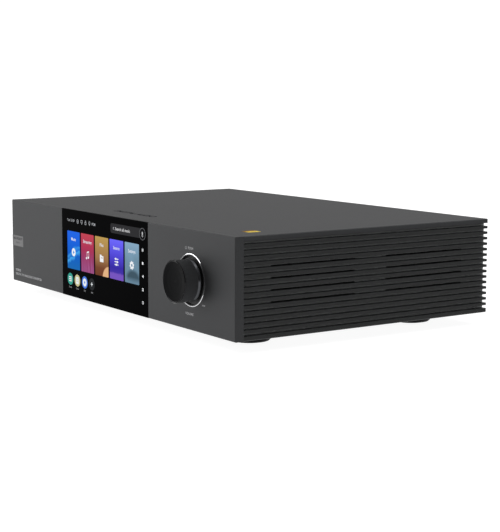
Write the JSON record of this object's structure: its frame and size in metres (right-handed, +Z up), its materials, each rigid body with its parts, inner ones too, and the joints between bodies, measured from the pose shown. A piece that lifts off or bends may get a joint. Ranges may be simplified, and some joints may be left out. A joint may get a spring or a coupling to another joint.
{
  "type": "desktop digital audio converter",
  "caption": "Low, wide aluminium audio converter and streamer with a full-height black display glass, a push-and-turn volume knob, finned sides, round feet and a rear panel of sockets.",
  "frame": {"origin": "centre of the overall footprint, on the plane the feet stand on", "axes": "+X to the right seen from the front, +Y to the rear, +Z up; the front faces -Y"},
  "size_m": [0.388, 0.274, 0.0875],
  "materials": {
    "case_front": "dark grey anodised, fine bead blast",
    "case_top": "dark grey anodised, fine bead blast",
    "case_side": "near-black anodised extrusion",
    "display_glass": "black-backed polished glass",
    "display_tray": "moulded",
    "badge": "satin plate",
    "black_sheet": "fine-texture powder coat",
    "foot_shell": "black anodised, turned",
    "foot_rubber": "matt",
    "zinc_steel": "zinc plated",
    "black_screw": "blackened steel",
    "inner_steel": "bare sheet",
    "polished_ring": "diamond-cut, polished",
    "knob_metal": "black anodised, spun face",
    "black_plastic": "moulded",
    "gloss_black": "moulded, glossy",
    "white_plastic": "moulded",
    "ribbon_film": "polyimide film",
    "circuit_board": "solder mask over glass laminate",
    "chip_black": "moulded epoxy",
    "black_heatsink": "black anodised",
    "capacitor_sleeve": "shrunk sleeve",
    "winding_copper": "taped enamelled winding",
    "brass_plain": "machined",
    "nickel_contact": "bright nickel",
    "socket_metal": "black die casting",
    "gold_contact": "gold plated"
  },
  "bodies": {
    "case": {"front_panel": "case_front", "cover_glass": "display_glass", "display_module": "display_tray", "display_bracket": "inner_steel", "badge_plate": "badge", "top_cover": "case_top", "side_panel_left": "case_side", "side_panel_right": "case_side", "bottom_plate": "black_sheet", "rear_panel": "black_sheet", "foot_front_left": "foot_shell", "foot_front_right": "foot_shell", "foot_rear_left": "foot_shell", "foot_rear_right": "foot_shell", "foot_pads": "foot_rubber", "foot_screws": "zinc_steel", "storage_cover": "black_sheet", "case_screws": "black_screw", "knob_ring": "polished_ring", "knob_well": "black_plastic", "encoder_housing": "zinc_steel", "encoder_nut": "zinc_steel", "display_ribbon": "ribbon_film", "main_board": "circuit_board", "main_board_chips": "chip_black", "processor_heatsink": "black_heatsink", "interface_board": "circuit_board", "analog_board": "circuit_board", "analog_relays": "white_plastic", "dac_shield": "inner_steel", "capacitors": "capacitor_sleeve", "power_board": "circuit_board", "transformer": "winding_copper", "transformer_clamp": "zinc_steel", "divider_wall": "inner_steel", "board_standoffs": "brass_plain", "inlet_module": "black_plastic", "inlet_blades": "nickel_contact", "xlr_outputs": "socket_metal", "xlr_inputs": "socket_metal", "xlr_pins": "gold_contact", "rca_shells": "gold_contact", "rca_insulators": "white_plastic", "optical_sockets": "black_plastic", "usb_sockets": "nickel_contact", "lan_socket": "nickel_contact", "hdmi_sockets": "nickel_contact", "trigger_jacks": "black_plastic", "antenna_jacks": "gold_contact"},
    "knob_push_rod": {"encoder_plunger": "white_plastic"},
    "knob": {"volume_knob": "knob_metal", "knob_screw": "zinc_steel", "encoder_shaft": "zinc_steel"},
    "rocker": {"power_rocker": "gloss_black"},
    "fuse_holder": {"fuse_drawer": "black_plastic", "fuse_cartridge": "nickel_contact"},
    "latch_left": {"xlr_latch_left": "black_plastic"},
    "latch_right": {"xlr_latch_right": "black_plastic"},
    "shutter_in": {"optical_shutter_in": "black_plastic"},
    "shutter_out": {"optical_shutter_out": "black_plastic"}
  },
  "joints": [
    {"name": "knob_push", "type": "slide", "parent": "case", "child": "knob_push_rod", "axis": [0, 1, 0], "range_m": [0, 0.0008], "stiffness_N_per_m": 1500, "springref_m": -0.002},
    {"name": "knob_turn", "type": "hinge", "parent": "knob_push_rod", "child": "knob", "pos_m": [0.1323, -0.122, 0.04875], "axis": [0, 1, 0], "continuous": true},
    {"name": "rocker_tilt", "type": "hinge", "parent": "case", "child": "rocker", "pos_m": [-0.152, 0.1235, 0.06395], "axis": [0, 0, 1], "range_deg": [0, 16]},
    {"name": "fuse_slide", "type": "slide", "parent": "case", "child": "fuse_holder", "axis": [0, 1, 0], "range_m": [0, 0.016]},
    {"name": "latch_left_press", "type": "slide", "parent": "case", "child": "latch_left", "axis": [0, -1, 0], "range_m": [0, 0.0014], "stiffness_N_per_m": 600, "springref_m": -0.002},
    {"name": "latch_right_press", "type": "slide", "parent": "case", "child": "latch_right", "axis": [0, -1, 0], "range_m": [0, 0.0014], "stiffness_N_per_m": 600, "springref_m": -0.002},
    {"name": "shutter_in_swing", "type": "hinge", "parent": "case", "child": "shutter_in", "pos_m": [-0.043, 0.1224, 0.06075], "axis": [-1, 0, 0], "range_deg": [0, 80], "stiffness_Nm_per_rad": 0.0004, "springref_deg": -34.38},
    {"name": "shutter_out_swing", "type": "hinge", "parent": "case", "child": "shutter_out", "pos_m": [-0.029, 0.1224, 0.06075], "axis": [-1, 0, 0], "range_deg": [0, 80], "stiffness_Nm_per_rad": 0.0004, "springref_deg": -34.38}
  ]
}
